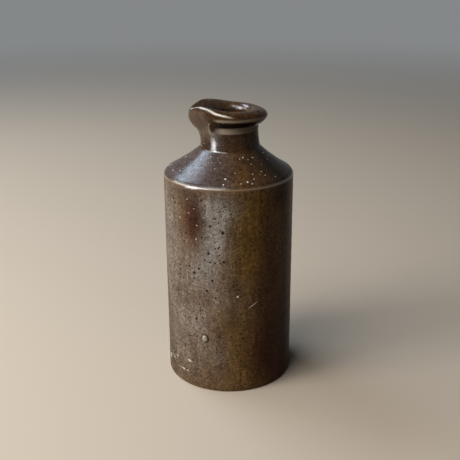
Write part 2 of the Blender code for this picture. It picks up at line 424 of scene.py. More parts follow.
# hollow of a print, with a low rim pushed up round it
def dimple(place, mark):
    turn = math.radians(mark.angle)
    across = bottle.neckOffset - mark.radius * math.cos(turn)
    away = place - Vector((across, -mark.radius * math.sin(turn), mark.z))
    level = math.hypot(away.x, away.y) / mark.wide
    reach = math.hypot(level, away.z / mark.tall)
    hollow = mark.depth * (1 - reach * reach) ** 2 if reach < 1 else 0.0
    rim = 0.16 * mark.depth * hump(reach - 1.15, 0.22)
    return rim - hollow


def pulledRelief(place, angle):
    lump = noise.noise(around(angle, 1.3, place.z * 40 + 5))
    peel = noise.noise(place * 700) + 0.8 * noise.noise(place * 330)
    rise = pinch.dent * (lump - 0.5) + pinch.peel * (peel - 1)
    for mark in (pinch.thumb, pinch.farThumb, pinch.bubble):
        rise += dimple(place, mark)
    facet = pinch.facet
    lean = min(max((place.z - facet.low) / (facet.high - facet.low), 0.0), 1.0)
    lean *= smooth((facet.end - place.z) / facet.fade)
    rise -= facet.depth * lean * hump(math.degrees(angle) - facet.angle, facet.wide)
    tall = smooth((place.z - pinch.foldLow) / pinch.lowFade)
    tall *= smooth((pinch.foldHigh - place.z) / pinch.highFade)
    if tall > 0:
        for degrees, depth, width in pinch.folds:
            drift = 2.0 * noise.noise(Vector((degrees, place.z * 260, 0)))
            rise -= depth * tall * hump(math.degrees(angle) - degrees - drift, width)
    return rise


def neckDrift(r, z):
    return bottle.neckOffset


neck = throwPiece("neck", neckSection, neckDrift, pulledRelief)
pouringLip = throwPiece("pouringLip", lipSection, neckDrift, pulledRelief)

# floor of the bottle: bare clay below, with the arcs of the cutting wire
floorCut = Spec(flange=0.0292, plug=0.0262, seat=0.0035, top=0.0075, recess=0.0008,
                arc=0.00005, arcPitch=0.0023, arcFrom=Vector((0.052, -0.018, 0)))


def floorSection(angle):
    flange, plug = floorCut.flange, floorCut.plug
    points = skin(line((0.0, floorCut.top), (flange, floorCut.top), 12), 0.0)
    points += skin([(flange, floorCut.seat), (plug, floorCut.seat)], 0.0)
    points += skin([(plug, floorCut.recess + 0.0006)], 0.001)
    points += skin(line((plug - 0.0006, floorCut.recess), (0.0, floorCut.recess), 60))
    return points


def wireCut(place, angle):
    away = (place - floorCut.arcFrom).length
    wobble = 0.8 * noise.noise(place * 120)
    arcs = floorCut.arc * (math.sin(2 * math.pi * away / floorCut.arcPitch + wobble) - 1)
    return arcs + 0.00003 * (noise.noise(place * 500) - 1)


floorDisc = throwPiece("floorDisc", floorSection, noDrift, wireCut, closed=False)

# cork: tapered, with worn edges and bark pores
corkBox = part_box("cork_stopper")
corkCut = Spec(topRadius=0.0097, footRadius=0.0090, top=corkBox[1][2], foot=corkBox[0][2],
               edge=0.0008, pore=0.00045, poreSize=0.0016, crumb=0.00010)


def corkSection(angle):
    top, foot, edge = corkCut.top, corkCut.foot, corkCut.edge
    wide, slim = corkCut.topRadius, corkCut.footRadius
    points = skin([(0.0, top)], 0.2) + skin(line((0.0004, top), (wide - edge, top), 26))
    points += skin(quarter((wide - edge, top), (wide, top - edge), (wide, top), 2.0, 4)[1:])
    points += skin(line((wide, top - edge), (slim, foot + edge), 40)[1:])
    points += skin(quarter((slim, foot + edge), (slim - edge, foot), (slim, foot), 2.0, 4)[1:])
    points += skin(line((slim - edge, foot), (0.0004, foot), 26)[1:]) + skin([(0.0, foot)], 0.2)
    return points


def corkRelief(place, angle):
    stretched = Vector((place.x, place.y, place.z * 0.55)) / corkCut.poreSize
    nearest = noise.voronoi(stretched)[0][0]
    pit = smooth((0.30 - nearest) / 0.22) * smooth(noise.noise(place * 210) * 2 + 0.6)
    crumb = noise.noise(place * 900) + noise.noise(place * 420)
    return -corkCut.pore * pit + corkCut.crumb * (min(crumb, 1.0) - 1.0)


corkStopper = throwPiece("corkStopper", corkSection, neckDrift, corkRelief, closed=False)

# marks on the wall: a glaze drip, the scar where it stood against another pot, a scratch and a grain of grit
marks = dict(
    drip=Spec(angle=67.9, z=0.0316, reach=0.0050, cuts=4, wide=0.00175, above=0.0023, below=0.0018,
              height=0.00095, moat=0.00014),
    scar=Spec(angle=30.0, z=0.0108, reach=0.0150, cuts=4, thick=0.00012, swell=0.00010, rough=0.00010),
    scratch=Spec(angle=111.2, z=0.0520, reach=0.0040, cuts=5, start=(107.4, 0.0506), end=(114.9, 0.0533),
                 wide=0.00028, depth=0.00009),
    grain=Spec(angle=97.6, z=0.0577, reach=0.0016, cuts=4, size=0.00066, height=0.00034))
keepIn = 0.00002    # no mark stands out past the box, less this much


def onWall(degrees, z):
    return around(math.radians(degrees), -bottle.radius, z)


# finer faces round a mark
def refine(obj, centres, reach, cuts, least):
    pick(obj)
    middles = readRows(obj.data.polygons, "center")
    near = np.zeros(len(middles), bool)
    for centre in centres:
        near |= np.linalg.norm(middles - np.array(centre), axis=1) < reach
    near &= np.hypot(middles[:, 0], middles[:, 1]) > least
    obj.data.edges.foreach_set("select", np.zeros(len(obj.data.edges), bool))
    obj.data.polygons.foreach_set("select", near)
    bpy.ops.object.mode_set(mode="EDIT")
    bpy.ops.mesh.select_mode(type="FACE")
    bpy.ops.mesh.subdivide(number_cuts=cuts, quadcorner="STRAIGHT_CUT")
    bpy.ops.object.mode_set(mode="OBJECT")


# half a ball, where reach 1 is its edge
def dome(reach, height):
    return height * math.sqrt(1 - reach * reach) if reach < 1 else 0.0


def dripReach(place):
    drip = marks["drip"]
    away = place - onWall(drip.angle, drip.z)
    tall = drip.below if away.z < 0 else drip.above
    return math.hypot(math.hypot(away.x, away.y) / drip.wide, away.z / tall)


def dripRise(place):
    reach = dripReach(place)
    moat = marks["drip"].moat * hump(reach - 1.25, 0.30)
    return dome(reach, marks["drip"].height) - moat


# rough patch where it stuck to its neighbour: angle, height, half width, half height and strength
scarParts = (
    (26, 0.0118, 0.0072, 0.0050, 0.46), (44, 0.0086, 0.0042, 0.0006, 1.5), (18, 0.0098, 0.0016, 0.0017, 1.2),
    (34, 0.0146, 0.0012, 0.0010, 1.3), (51.5, 0.0152, 0.0015, 0.0013, 1.5))


def scarCrust(place):
    torn = noise.noise(place * 1050) + 0.7 * noise.noise(place * 2200 + Vector((2, 5, 3)))
    near = 0.0
    for degrees, z, wide, tall, strength in scarParts:
        away = place - onWall(degrees, z)
        level = math.hypot(away.x, away.y) / wide
        near = max(near, strength * math.exp(-level ** 2 - (away.z / tall) ** 2))
    return near, smooth((near * (0.64 + torn) - 0.25) / 0.35), torn


def scarRise(place):
    scar = marks["scar"]
    near, crust, torn = scarCrust(place)
    return crust * (scar.thick + scar.swell * min(near, 1.3) + scar.rough * torn)


def scratchDepth(place):
    scratch = marks["scratch"]
    start = onWall(*scratch.start)
    along = onWall(*scratch.end) - start
    share = min(max((place - start).dot(along) / along.length_squared, 0.0), 1.0)
    away = (place - start - along * share).length
    width = scratch.wide * (0.5 + 0.5 * math.sin(math.pi * (0.1 + 0.85 * share)))
    return -scratch.depth * smooth((width * 1.6 - away) / width)


def grainRise(place):
    grain = marks["grain"]
    return dome((place - onWall(grain.angle, grain.z)).length / grain.size, grain.height)


# darker round a mark: painted shade round the foot of the drip, and darker between the crusts of the scar
def dripShade(place):
    return 0.85 * hump(dripReach(place) - 1.12, 0.20)


def scarShade(place):
    near, crust, torn = scarCrust(place)
    return 0.75 * min(1.3 * near, 1.0) * (1 - crust)


markRise = dict(drip=dripRise, scar=scarRise, scratch=scratchDepth, grain=grainRise)
markShade = dict(drip=dripShade, scar=scarShade)
# channel of the paint, how fast it grows with the height of the mark, and the most of it
markPaint = dict(drip=(1, 1500, 1.0), scar=(3, 4000, 0.85), scratch=(3, -12000, 1.0), grain=(3, 5000, 1.0))
for mark in marks.values():
    refine(bodyWall, [onWall(mark.angle, mark.z)], mark.reach, mark.cuts, wall.skinRadius)
for vert in bodyWall.data.vertices:
    r = math.hypot(vert.co.x, vert.co.y)
    if r < wall.skinRadius or vert.co.z < 0.0004:
        continue
    rise = 0.0
    for name, mark in marks.items():
        if (vert.co - onWall(mark.angle, mark.z)).length < mark.reach:
            rise += markRise[name](vert.co)
    room = (bottle.radius - keepIn) * r / max(abs(vert.co.x), abs(vert.co.y)) - r
    vert.co += Vector((vert.co.x / r, vert.co.y / r, 0)) * min(rise, max(room, 0.0))

# iron pits in the wall: angle, height and radius; the far side has its own, scattered
pitted = Spec(
    depth=0.00024, cuts=4,
    front=(
        (74.2, 0.0967, 0.00074), (85.1, 0.0936, 0.00095), (72.5, 0.0817, 0.00089), (85.8, 0.0775, 0.00078),
        (53.6, 0.0727, 0.00068), (63.1, 0.0723, 0.00078), (58.5, 0.0695, 0.00089), (75.7, 0.0666, 0.00076),
        (70.5, 0.0604, 0.00078), (59.5, 0.0425, 0.00078), (58.1, 0.0662, 0.00062), (66.8, 0.0902, 0.00062),
        (78.1, 0.0765, 0.00059), (73.7, 0.0769, 0.00059), (69.2, 0.0779, 0.00057), (48.0, 0.0860, 0.00054),
        (42.0, 0.0690, 0.00065), (64.0, 0.0480, 0.00054), (51.0, 0.0560, 0.00057), (81.0, 0.0850, 0.00051)),
    scattered=46, seed=11)
# grains of salt on the wall, painted whitish as glints: angle, height and radius
grains = Spec(
    height=0.00012, cuts=3, paint=0.40,
    front=(
        (52.5, 0.1096, 0.00040), (59.5, 0.1052, 0.00034), (54.0, 0.1024, 0.00040), (43.5, 0.0988, 0.00038),
        (62.0, 0.0964, 0.00040), (61.0, 0.0888, 0.00048), (68.5, 0.1012, 0.00036)))
grainPlaces = [(onWall(angle, z), size) for angle, z, size in grains.front]
chance = random.Random(pitted.seed)
pits = [(onWall(angle, z), size) for angle, z, size in pitted.front]
for count in range(pitted.scattered):
    place = onWall(chance.uniform(160, 395), chance.uniform(0.012, 0.108))
    pits.append((place, chance.uniform(0.00034, 0.00066)))

# burst blisters on the shoulder, painted whitish as glints: angle, distance from the axis and radius
blistered = Spec(
    height=0.00022, cuts=4, paint=0.75,
    front=(
        (87.0, 0.0293, 0.00056), (107.9, 0.0315, 0.00061), (111.5, 0.0328, 0.00044),
        (101.4, 0.0323, 0.00039), (115.3, 0.0303, 0.00039), (116.3, 0.0275, 0.00033),
        (129.9, 0.0293, 0.00034), (127.9, 0.0269, 0.00028), (111.2, 0.0185, 0.00041),
        (127.3, 0.0193, 0.00030), (105.2, 0.0191, 0.00027), (85.5, 0.0326, 0.00047),
        (29.3, 0.0290, 0.00034), (50.1, 0.0186, 0.00031), (57.5, 0.0184, 0.00031),
        (59.2, 0.0215, 0.00028), (120.0, 0.0224, 0.00027), (97.0, 0.0262, 0.00027),
        (140.0, 0.0316, 0.00028), (72.0, 0.0240, 0.00025)),
    scattered=24)


def onShoulder(degrees, r):
    turn = math.radians(degrees)
    share = (r - shoulderCone.neckFoot) / (bottle.radius - shoulderCone.neckFoot)
    z = mix(neckSeam, shoulderCone.corner, share) - shoulderCone.sag * 4 * share * (1 - share)
    return Vector((shoulderDrift(r, z) - r * math.cos(turn), -r * math.sin(turn), z))


blisters = [(onShoulder(angle, r), size) for angle, r, size in blistered.front]
for count in range(blistered.scattered):
    place = onShoulder(chance.uniform(150, 380), chance.uniform(0.0185, 0.0325))
    blisters.append((place, chance.uniform(0.00024, 0.00048)))


# how much of each place the small round spots cover
def spotCover(places, spots):
    cover = np.zeros(len(places))
    for place, size in spots:
        reach = np.linalg.norm(places - np.array(place), axis=1) / size
        cover = np.maximum(cover, np.clip(1.25 - reach ** 2, 0, 1))
    return cover


# raises or sinks the spots, and returns how much of each vertex they cover
def stampSpots(obj, spots, height, cuts, least):
    refine(obj, [place for place, size in spots], 0.0010, cuts, least)
    mesh = obj.data
    places = readRows(mesh.vertices, "co")
    directions = readRows(mesh.vertex_normals, "vector")
    outer = np.hypot(places[:, 0], places[:, 1]) > least
    outer &= directions[:, 2] > -0.5
    cover = spotCover(places, spots) * outer
    moved = places + directions * (height * cover)[:, None]
    mesh.vertices.foreach_set("co", moved.ravel())
    mesh.update()
    return cover


stampSpots(bodyWall, grainPlaces, grains.height, grains.cuts, wall.skinRadius)
pitCover = stampSpots(bodyWall, pits, -pitted.depth, pitted.cuts, wall.skinRadius)
blisterCover = stampSpots(shoulder, blisters, blistered.height, blistered.cuts, neckRadius)
for obj in (bodyWall, shoulder):
    pick(obj)
    bpy.ops.object.shade_smooth_by_angle(angle=math.radians(50))
    print("marks modelled on", obj.name, "with", len(obj.data.polygons), "faces")


# the pieces meet in one surface, so both sides of a seam take the same normals
def knitSeam(lower, upper, seam, least):
    sides = []
    for obj in (lower, upper):
        mesh = obj.data
        owners = np.empty(len(mesh.loops), int)
        mesh.loops.foreach_get("vertex_index", owners)
        corners = readRows(mesh.vertices, "co")[owners]
        directions = readRows(mesh.corner_normals, "vector")
        near = np.abs(corners[:, 2] - seam) < 0.0002
        near &= np.hypot(corners[:, 0], corners[:, 1]) > least
        near &= np.abs(directions[:, 2]) < 0.9
        turns = np.round(np.arctan2(corners[:, 1], corners[:, 0]) * 2000).astype(int)
        sides.append((mesh, directions, np.nonzero(near)[0], turns))
    shared = {}
    for mesh, directions, near, turns in sides:
        for loop in near:
            shared[turns[loop]] = shared.get(turns[loop], 0) + directions[loop]
    for mesh, directions, near, turns in sides:
        for loop in near:
            together = shared[turns[loop]]
            directions[loop] = together / np.linalg.norm(together)
        mesh.normals_split_custom_set(directions.tolist())


# fired tones and painted light, laid on the vertices: angle, height, spread round, spread up and strength
firingAndLight = dict(
    # the red low on the right side is partly a painted warm reflection of the floor
    red=((57.5, 0.0990, 10.5, 0.014, 0.90), (143, 0.022, 20, 0.034, 1.0), (128, 0.075, 12, 0.030, 0.3),
         (66, 0.060, 9, 0.007, 0.25), (120, 0.022, 13, 0.016, 0.55), (215, 0.070, 22, 0.040, 0.8),
         (290, 0.030, 16, 0.030, 0.7), (330, 0.095, 12, 0.030, 0.6)),
    amber=((108, 0.092, 15, 0.032, 0.9), (116, 0.014, 22, 0.018, 0.6), (122, 0.123, 30, 0.013, 1.0),
           (96, 0.035, 14, 0.020, 0.4), (134, 0.011, 15, 0.013, 0.6), (185, 0.030, 14, 0.050, 0.6),
           (250, 0.095, 18, 0.028, 0.9), (305, 0.075, 12, 0.040, 0.6)),
    # the bloom patches are partly a grey salt bloom and partly a painted sheen; the one at the right edge is
    # a painted reflection
    bloomAndSheen=((82, 0.1065, 15, 0.007, 0.9), (79, 0.0990, 8, 0.011, 0.5), (77, 0.090, 12, 0.014, 0.90),
           (20, 0.097, 17, 0.022, 0.38), (66, 0.071, 17, 0.014, 0.72), (28, 0.065, 22, 0.048, 0.48),
           (52, 0.030, 28, 0.024, 0.38), (166, 0.098, 8, 0.020, 1.0), (82, 0.057, 22, 0.010, 0.22),
           (63, 0.041, 9, 0.009, 0.35), (80, 0.022, 7, 0.008, 0.30), (65, 0.108, 6, 0.005, 0.30),
           (200, 0.105, 14, 0.020, 0.5), (262, 0.045, 20, 0.032, 0.7), (345, 0.040, 14, 0.040, 0.7)),
    # the dark patches round the right side are partly painted shade
    dark=((60.5, 0.0990, 8.5, 0.013, 0.50), (18, 0.098, 16, 0.020, 0.10), (139, 0.110, 9, 0.007, 0.8),
          (152, 0.122, 22, 0.010, 0.80), (149, 0.070, 6, 0.060, 0.6), (152, 0.025, 9, 0.030, 0.55),
          (128, 0.055, 10, 0.050, 0.3), (58, 0.056, 14, 0.007, 0.10), (16, 0.028, 13, 0.030, 0.28),
          (95, 0.1115, 14, 0.003, 0.4), (46, 0.112, 16, 0.004, 0.5), (228, 0.020, 18, 0.014, 0.6),
          (318, 0.020, 14, 0.018, 0.5)))


def patch(spots, degrees, z):
    total = np.zeros(len(z))
    for angle, height, wide, tall, strength in spots:
        turn = (degrees - angle + 180) % 360 - 180
        total += strength * np.exp(-(turn / wide) ** 2 - ((z - height) / tall) ** 2)
    return np.minimum(total, 1.0)


# ramp and bell are smooth and hump for whole arrays
def ramp(value, low, high):
    share = np.clip((value - low) / (high - low), 0, 1)
    return share * share * (3 - 2 * share)


def bell(value, middle, wide):
    return np.exp(-((value - middle) / wide) ** 2)


# degrees away from the spout, to either side
def fromSpout(degrees):
    return np.abs((degrees + 180) % 360 - 180)


# painted shade under the ring; painted reflections of the floor as a beige line along the ring and a beige
# band just below it, and a painted sheen that greys the drawn spout
ringShadeAndHighlights = Spec(
    low=0.0024, high=0.0056, edge=0.0006, fadeFrom=60, fadeOver=18, outside=0.0138, top=0.0082,
    line=0.0065, lineWide=0.0007, lineAngle=82, lineSpread=22,
    band=0.7, bandLow=-0.0014, bandHigh=0.0018, bandAngle=88, bandBefore=34, bandAfter=60,
    press=0.9, bank=0.55, bankReach=1.45, bankWide=0.28,
    spout=0.16, spoutFrom=38, spoutTo=60, spoutLow=-0.0060, spoutHigh=0.0085)


# how far a place is from the middle of the thumb print, and how far to its side, where 1 is its edge
def thumbReach(degrees, z):
    thumb = pinch.thumb
    across = np.radians(degrees - thumb.angle) * thumb.radius / thumb.printWide
    return np.hypot(across, (z - thumb.z) / thumb.printTall), across


# painted reflections, highlights and shade on the neck and the lip, with up measured from the seam between
# them
def ringShades(degrees, r, up):
    turn = fromSpout(degrees)
    clear = ramp(turn, ringShadeAndHighlights.fadeFrom, ringShadeAndHighlights.fadeFrom + ringShadeAndHighlights.fadeOver)
    outer = (r > ringShadeAndHighlights.outside) & (up < ringShadeAndHighlights.top)
    # painted shade under the ring
    paintedShade = ramp(up, ringShadeAndHighlights.low - 0.0005, ringShadeAndHighlights.low)
    paintedShade *= 1 - ramp(up, ringShadeAndHighlights.high - ringShadeAndHighlights.edge, ringShadeAndHighlights.high)
    # a beige line along the underside of the ring, a painted reflection of the floor
    paleReflection = 0.7 + 0.3 * bell(turn, ringShadeAndHighlights.lineAngle, ringShadeAndHighlights.lineSpread)
    paleReflection *= bell(up, ringShadeAndHighlights.line, ringShadeAndHighlights.lineWide)
    # a beige band on the neck below the ring, also a painted reflection of the floor
    spread = np.where(turn > ringShadeAndHighlights.bandAngle, ringShadeAndHighlights.bandAfter, ringShadeAndHighlights.bandBefore)
    band = ringShadeAndHighlights.band * bell(turn, ringShadeAndHighlights.bandAngle, spread)
    band *= ramp(up, ringShadeAndHighlights.bandLow, ringShadeAndHighlights.bandLow + 0.0007)
    paleReflection += band * (1 - ramp(up, ringShadeAndHighlights.bandHigh, ringShadeAndHighlights.bandHigh + 0.0006))
    reach, across = thumbReach(degrees, up + lipSeam)
    # painted shade in the hollow of the print
    press = np.exp(-reach ** 4)
    # painted highlight on the rim beside the print
    rimHighlight = ringShadeAndHighlights.bank * bell(reach, ringShadeAndHighlights.bankReach, ringShadeAndHighlights.bankWide)
    rimHighlight *= ramp(-across, 0.1, 0.9)
    # greyer on the outer side of the drawn spout, a painted sheen
    drawn = ringShadeAndHighlights.spout * (1 - ramp(turn, ringShadeAndHighlights.spoutFrom, ringShadeAndHighlights.spoutTo))
    drawn *= 1 - ramp(up, ringShadeAndHighlights.spoutHigh, ringShadeAndHighlights.spoutHigh + 0.0030)
    drawn *= ramp(up, ringShadeAndHighlights.spoutLow, ringShadeAndHighlights.spoutLow + 0.0050) * (r > ringShadeAndHighlights.outside)
    # painted reflections, highlight and sheen together, then the painted shade
    thinGlazeAndHighlight = np.maximum(np.maximum(paleReflection * clear, rimHighlight) * outer, drawn)
    return np.stack([thinGlazeAndHighlight, np.maximum(paintedShade * clear * outer, ringShadeAndHighlights.press * press)], 1)


# how glossy the glaze is: bright in a streak on the neck and in the mouth, dull on the wall
shine = Spec(shoulder=0.11, swing=0.06, dullAngle=110, sheen=0.17, sheenAngle=40, sheenWide=14,
             neck=0.16, ringLess=0.10, streak=0.80, streakAngle=64, streakWide=16, mouth=0.3, wiped=0.9)


def glossCover(obj, degrees, r, z):
    if obj == bodyWall:
        return np.zeros(len(z))
    if obj == shoulder:
        swing = shine.swing * np.cos(np.radians(degrees - shine.dullAngle))
        sheen = shine.sheen * bell(degrees, shine.sheenAngle, shine.sheenWide)
        return shine.shoulder - swing + sheen
    up = z - lipSeam
    streak = bell(degrees, shine.streakAngle, shine.streakWide) * (1 - ramp(up, 0.0, 0.0020))
    inside = (1 - ramp(r, 0.0125, 0.0145)) * ramp(up, 0.0065, 0.0080)
    ring = ramp(up, 0.0020, 0.0040) * ramp(r, 0.0145, 0.0160)
    wiped = 1 - shine.wiped * np.exp(-thumbReach(degrees, z)[0] ** 4)
    bright = shine.streak * np.maximum(streak, shine.mouth * inside)
    return (shine.neck - shine.ringLess * ring + bright) * wiped


# painted highlight along the edge of the drawn cheeks, a glossy whitish line: down is the share of the way
# from rim to widest line
edgeHighlight = Spec(down=0.25, downMore=0.65, turnFrom=42, turnOver=28, wide=0.00042, wider=0.00016,
                widestAngle=60, widestSpread=16, far=0.3)


def edgeHighlightLine(x, y, z):
    middles = []
    for step in range(bottle.steps):
        turn = 2 * math.pi * step / bottle.steps
        sunk = smooth((math.degrees(turn) - edgeHighlight.turnFrom) / edgeHighlight.turnOver)
        down = edgeHighlight.down + edgeHighlight.downMore * sunk
        middles.append(lipSection(turn)[round(lipPull.topRings * down)][:2])
    middles = np.array(middles)
    turn = np.arctan2(-y, bottle.neckOffset - x)
    column = np.round(turn / (2 * math.pi) * bottle.steps).astype(int) % bottle.steps
    away = np.hypot(np.hypot(x - bottle.neckOffset, y) - middles[column, 0], z - middles[column, 1])
    degrees = np.degrees(turn)
    near = ramp(degrees, 4, 14) * (1 - ramp(degrees, 78, 98))
    far = edgeHighlight.far * ramp(-degrees, 4, 14) * (1 - ramp(-degrees, 60, 90))
    wider = edgeHighlight.wider * bell(degrees, edgeHighlight.widestAngle, edgeHighlight.widestSpread)
    return (near + far) * bell(away, 0, edgeHighlight.wide + wider)


# paint of the marks on the wall, and the darker colour round them, painted shade at the drip
def paintMarks(places, r, wearAndHighlight, spots):
    for name, mark in marks.items():
        away = np.linalg.norm(places - np.array(onWall(mark.angle, mark.z)), axis=1)
        channel, gain, most = markPaint[name]
        for index in np.nonzero((away < mark.reach) & (r > wall.skinRadius))[0]:
            place = Vector(places[index])
            paint = min(max(markRise[name](place) * gain, 0), most)
            wearAndHighlight[index, channel] = min(wearAndHighlight[index, channel] + paint, 1.0)
            if name in markShade:
                spots[index, 3] = max(spots[index, 3], markShade[name](place))


paintLayers = ("toneAndLight", "glazeWearAndHighlight", "spotsAndPaintedLight", "glazeGloss")


# wear holds the roll, the drip, bare clay and crust, and on the lip a painted highlight line; spots holds
# pits, blisters painted as glints, painted reflections and highlights, and painted shade
def paintTonesAndLight(obj):
    places = readRows(obj.data.vertices, "co")
    x, y, z = places.T
    degrees = np.degrees(np.arctan2(-y, -x)) % 360
    r = np.hypot(x, y)
    tone = np.stack([patch(firingAndLight[name], degrees, z) for name in ("red", "amber", "bloomAndSheen", "dark")], 1)
    wearAndHighlight, spots, gloss = (np.zeros((len(places), 4)) for layer in range(3))
    wearAndHighlight[:, 0] = np.where(r > roll.least, bell(z, roll.z, roll.sheen), 0.0)
    wearAndHighlight[:, 2] = np.clip((0.0005 - z) / 0.0004, 0, 1)
    gloss[:, 0] = glossCover(obj, degrees, r, z)
    if obj == bodyWall:
        paintMarks(places, r, wearAndHighlight, spots)
        spots[:, 0] = pitCover
        spots[:, 1] = grains.paint * spotCover(places, grainPlaces)
    if obj == shoulder:
        spots[:, 1] = blistered.paint * blisterCover
    if obj in (neck, pouringLip):
        spots[:, 2:] = ringShades(degrees, r, z - lipSeam)
    if obj == pouringLip:
        tone[:, 1] = 0.85 * ramp(z - lipSeam, 0.0068, 0.0084) * ramp(fromSpout(degrees), 20, 75)
        # the painted highlight line on the lip's edge, glossy and whitish
        wearAndHighlight[:, 0] = spots[:, 1] = edgeHighlightLine(x, y, z)
    for name, values in zip(paintLayers, (tone, wearAndHighlight, spots, gloss)):
        layer = obj.data.color_attributes.new(name, "FLOAT_COLOR", "POINT")
        layer.data.foreach_set("color", values.ravel())


knitSeam(bodyWall, shoulder, wallSeam, wallLap + 0.001)
knitSeam(neck, pouringLip, lipSeam, neckLap + 0.001)
for piece in (bodyWall, shoulder, neck, pouringLip):
    paintTonesAndLight(piece)
print("firing tones painted")


# links a socket to an input of a node, or fills the input with a number or a colour
def fill(node, inputs):
    for key, value in inputs.items():
        taken = node.inputs[key]
        if isinstance(value, bpy.types.NodeSocket):
            node.id_data.links.new(value, taken)
        else:
            taken.default_value = value + (1.0,) if taken.type == "RGBA" else value


# adds a node to the tree that its inputs come from, and returns its outputs
def addNode(kind, inputs, **settings):
    tree = next(value.id_data for value in inputs.values() if isinstance(value, bpy.types.NodeSocket))
    node = tree.nodes.new("ShaderNode" + kind)
    for name, value in settings.items():
        setattr(node, name, value)
    fill(node, inputs)
    return node.outputs


def mathNode(operation, first, second, clamp=False):
    return addNode("Math", {0: first, 1: second}, operation=operation, use_clamp=clamp)[0]


def times(first, second, clamp=False):
    return mathNode("MULTIPLY", first, second, clamp)


def plus(first, second, clamp=False):
    return mathNode("ADD", first, second, clamp)


def minus(first, second):
    return mathNode("SUBTRACT", first, second)


def larger(first, second):
    return mathNode("MAXIMUM", first, second)


def scaled(value, factor, offset=0.0):
    return addNode("Math", {0: value, 1: factor, 2: offset}, operation="MULTIPLY_ADD")[0]


def blendNode(factor, first, second, mode="MIX"):
    inputs = {0: factor, 6: first, 7: second}
    return addNode("Mix", inputs, data_type="RGBA", blend_type=mode, clamp_factor=True)[2]


def rangeNode(value, low, high, toLow=0.0, toHigh=1.0):
    inputs = {"Value": value, "From Min": low, "From Max": high, "To Min": toLow, "To Max": toHigh}
    return addNode("MapRange", inputs, interpolation_type="SMOOTHSTEP")[0]


def noiseNode(vector, scale, detail=3.0, roughness=0.55):
    return addNode("TexNoise", dict(Vector=vector, Scale=scale, Detail=detail, Roughness=roughness))["Fac"]


def stretchNode(vector, scale):
    return addNode("Mapping", dict(Vector=vector, Scale=scale))[0]


def bumpNode(height, strength, distance):
    return addNode("Bump", dict(Height=height, Strength=strength, Distance=distance))[0]


def newGroup(name, inputs, outputs):
    group = bpy.data.node_groups.new(name, "ShaderNodeTree")
    group.interface.new_socket("Vector", in_out="INPUT", socket_type="NodeSocketVector")
    for socketName, value in inputs.items():
        made = group.interface.new_socket(socketName, in_out="INPUT", socket_type="NodeSocketFloat")
        made.default_value = value
    for socketName in outputs:
        group.interface.new_socket(socketName, in_out="OUTPUT", socket_type="NodeSocketFloat")
    return group, group.nodes.new("NodeGroupInput").outputs, group.nodes.new("NodeGroupOutput")


def useGroup(group, vector, **values):
    return addNode("Group", dict(values, Vector=vector), node_tree=group)


# small spots of uneven size, thinned out by density
def makeSpots():
    group, source, out = newGroup("spots", dict(Scale=500.0, Size=0.3, Density=0.3), ("Mask",))
    cells = addNode("TexVoronoi", dict(Vector=source["Vector"], Scale=source["Scale"]))
    split = addNode("SeparateColor", dict(Color=cells["Color"]))
    kept = mathNode("LESS_THAN", split["Red"], source["Density"])
    reach = times(source["Size"], scaled(split["Green"], 0.8, 0.35))
    spot = rangeNode(cells["Distance"], reach, times(reach, 0.45))
    fill(out, dict(Mask=times(spot, kept)))
    return group


# pebbled surface of a salt glaze
def makePeel():
    group, source, out = newGroup("pebbledGlaze", dict(Scale=900.0), ("Height", "Tone"))
    vector, scale = source["Vector"], source["Scale"]
    cells = addNode("TexVoronoi", dict(Vector=vector, Scale=scale, Smoothness=0.35), feature="SMOOTH_F1")
    grain = noiseNode(vector, times(scale, 0.55), 3.0, 0.5)
    pebble = minus(1.0, cells["Distance"])
    mixed = plus(times(pebble, 0.7), times(grain, 1.3))
    fill(out, dict(Height=plus(pebble, grain), Tone=rangeNode(mixed, 0.80, 1.45)))
    return group


# uneven tone: broad clouds, mottling and fine runs down the wall
def makeRuns():
    group, source, out = newGroup("glazeRuns", {}, ("Cloud", "Mottle", "Run"))
    vector = source["Vector"]
    drawnOut = stretchNode(vector, (1, 1, 0.14))
    fill(out, dict(Cloud=noiseNode(vector, 85.0, 4.0, 0.6), Mottle=noiseNode(vector, 420.0, 4.0, 0.62),
                   Run=noiseNode(drawnOut, 300.0, 3.0, 0.6)))
    return group


spotsGroup = makeSpots()
peelGroup = makePeel()
runsGroup = makeRuns()


def newMaterial(name):
    material = bpy.data.materials.new(name)
    material.use_nodes = True
    tree = material.node_tree
    coords = tree.nodes.new("ShaderNodeTexCoord").outputs["Object"]
    return material, tree, tree.nodes["Principled BSDF"], coords


glaze = dict(
    brown=(0.094, 0.051, 0.022), amber=(0.118, 0.060, 0.012), red=(0.054, 0.019, 0.010),
    # the bloom colour is greyed to paint in a sheen of the lamps
    bloomAndSheen=(0.198, 0.172, 0.148), dark=(0.010, 0.004, 0.002),
    # the shoulder's brown is greyed to paint in a sheen of the sky
    shoulderBrownAndSheen=(0.050, 0.036, 0.035), shoulderAmber=(0.072, 0.034, 0.010),
    neckBrown=(0.036, 0.016, 0.006), lipAmber=(0.052, 0.022, 0.006), drip=(0.210, 0.170, 0.125),
    # the thin colour also paints the highlight on the cheeks' edge, and the pale colour paints reflections
    # and highlights
    thinGlazeAndHighlight=(0.270, 0.155, 0.065), paleReflection=(0.250, 0.190, 0.135), clay=(0.420, 0.340, 0.250),
    # the fleck colour paints glints, and the pit colour also paints shade
    paintedGlint=(0.640, 0.590, 0.500), pit=(0.006, 0.0035, 0.0025))

# lays one glaze colour over another where its mask is
def coatOver(colour, coats):
    for mask, name in coats:
        colour = blendNode(mask, colour, glaze[name])
    return colour


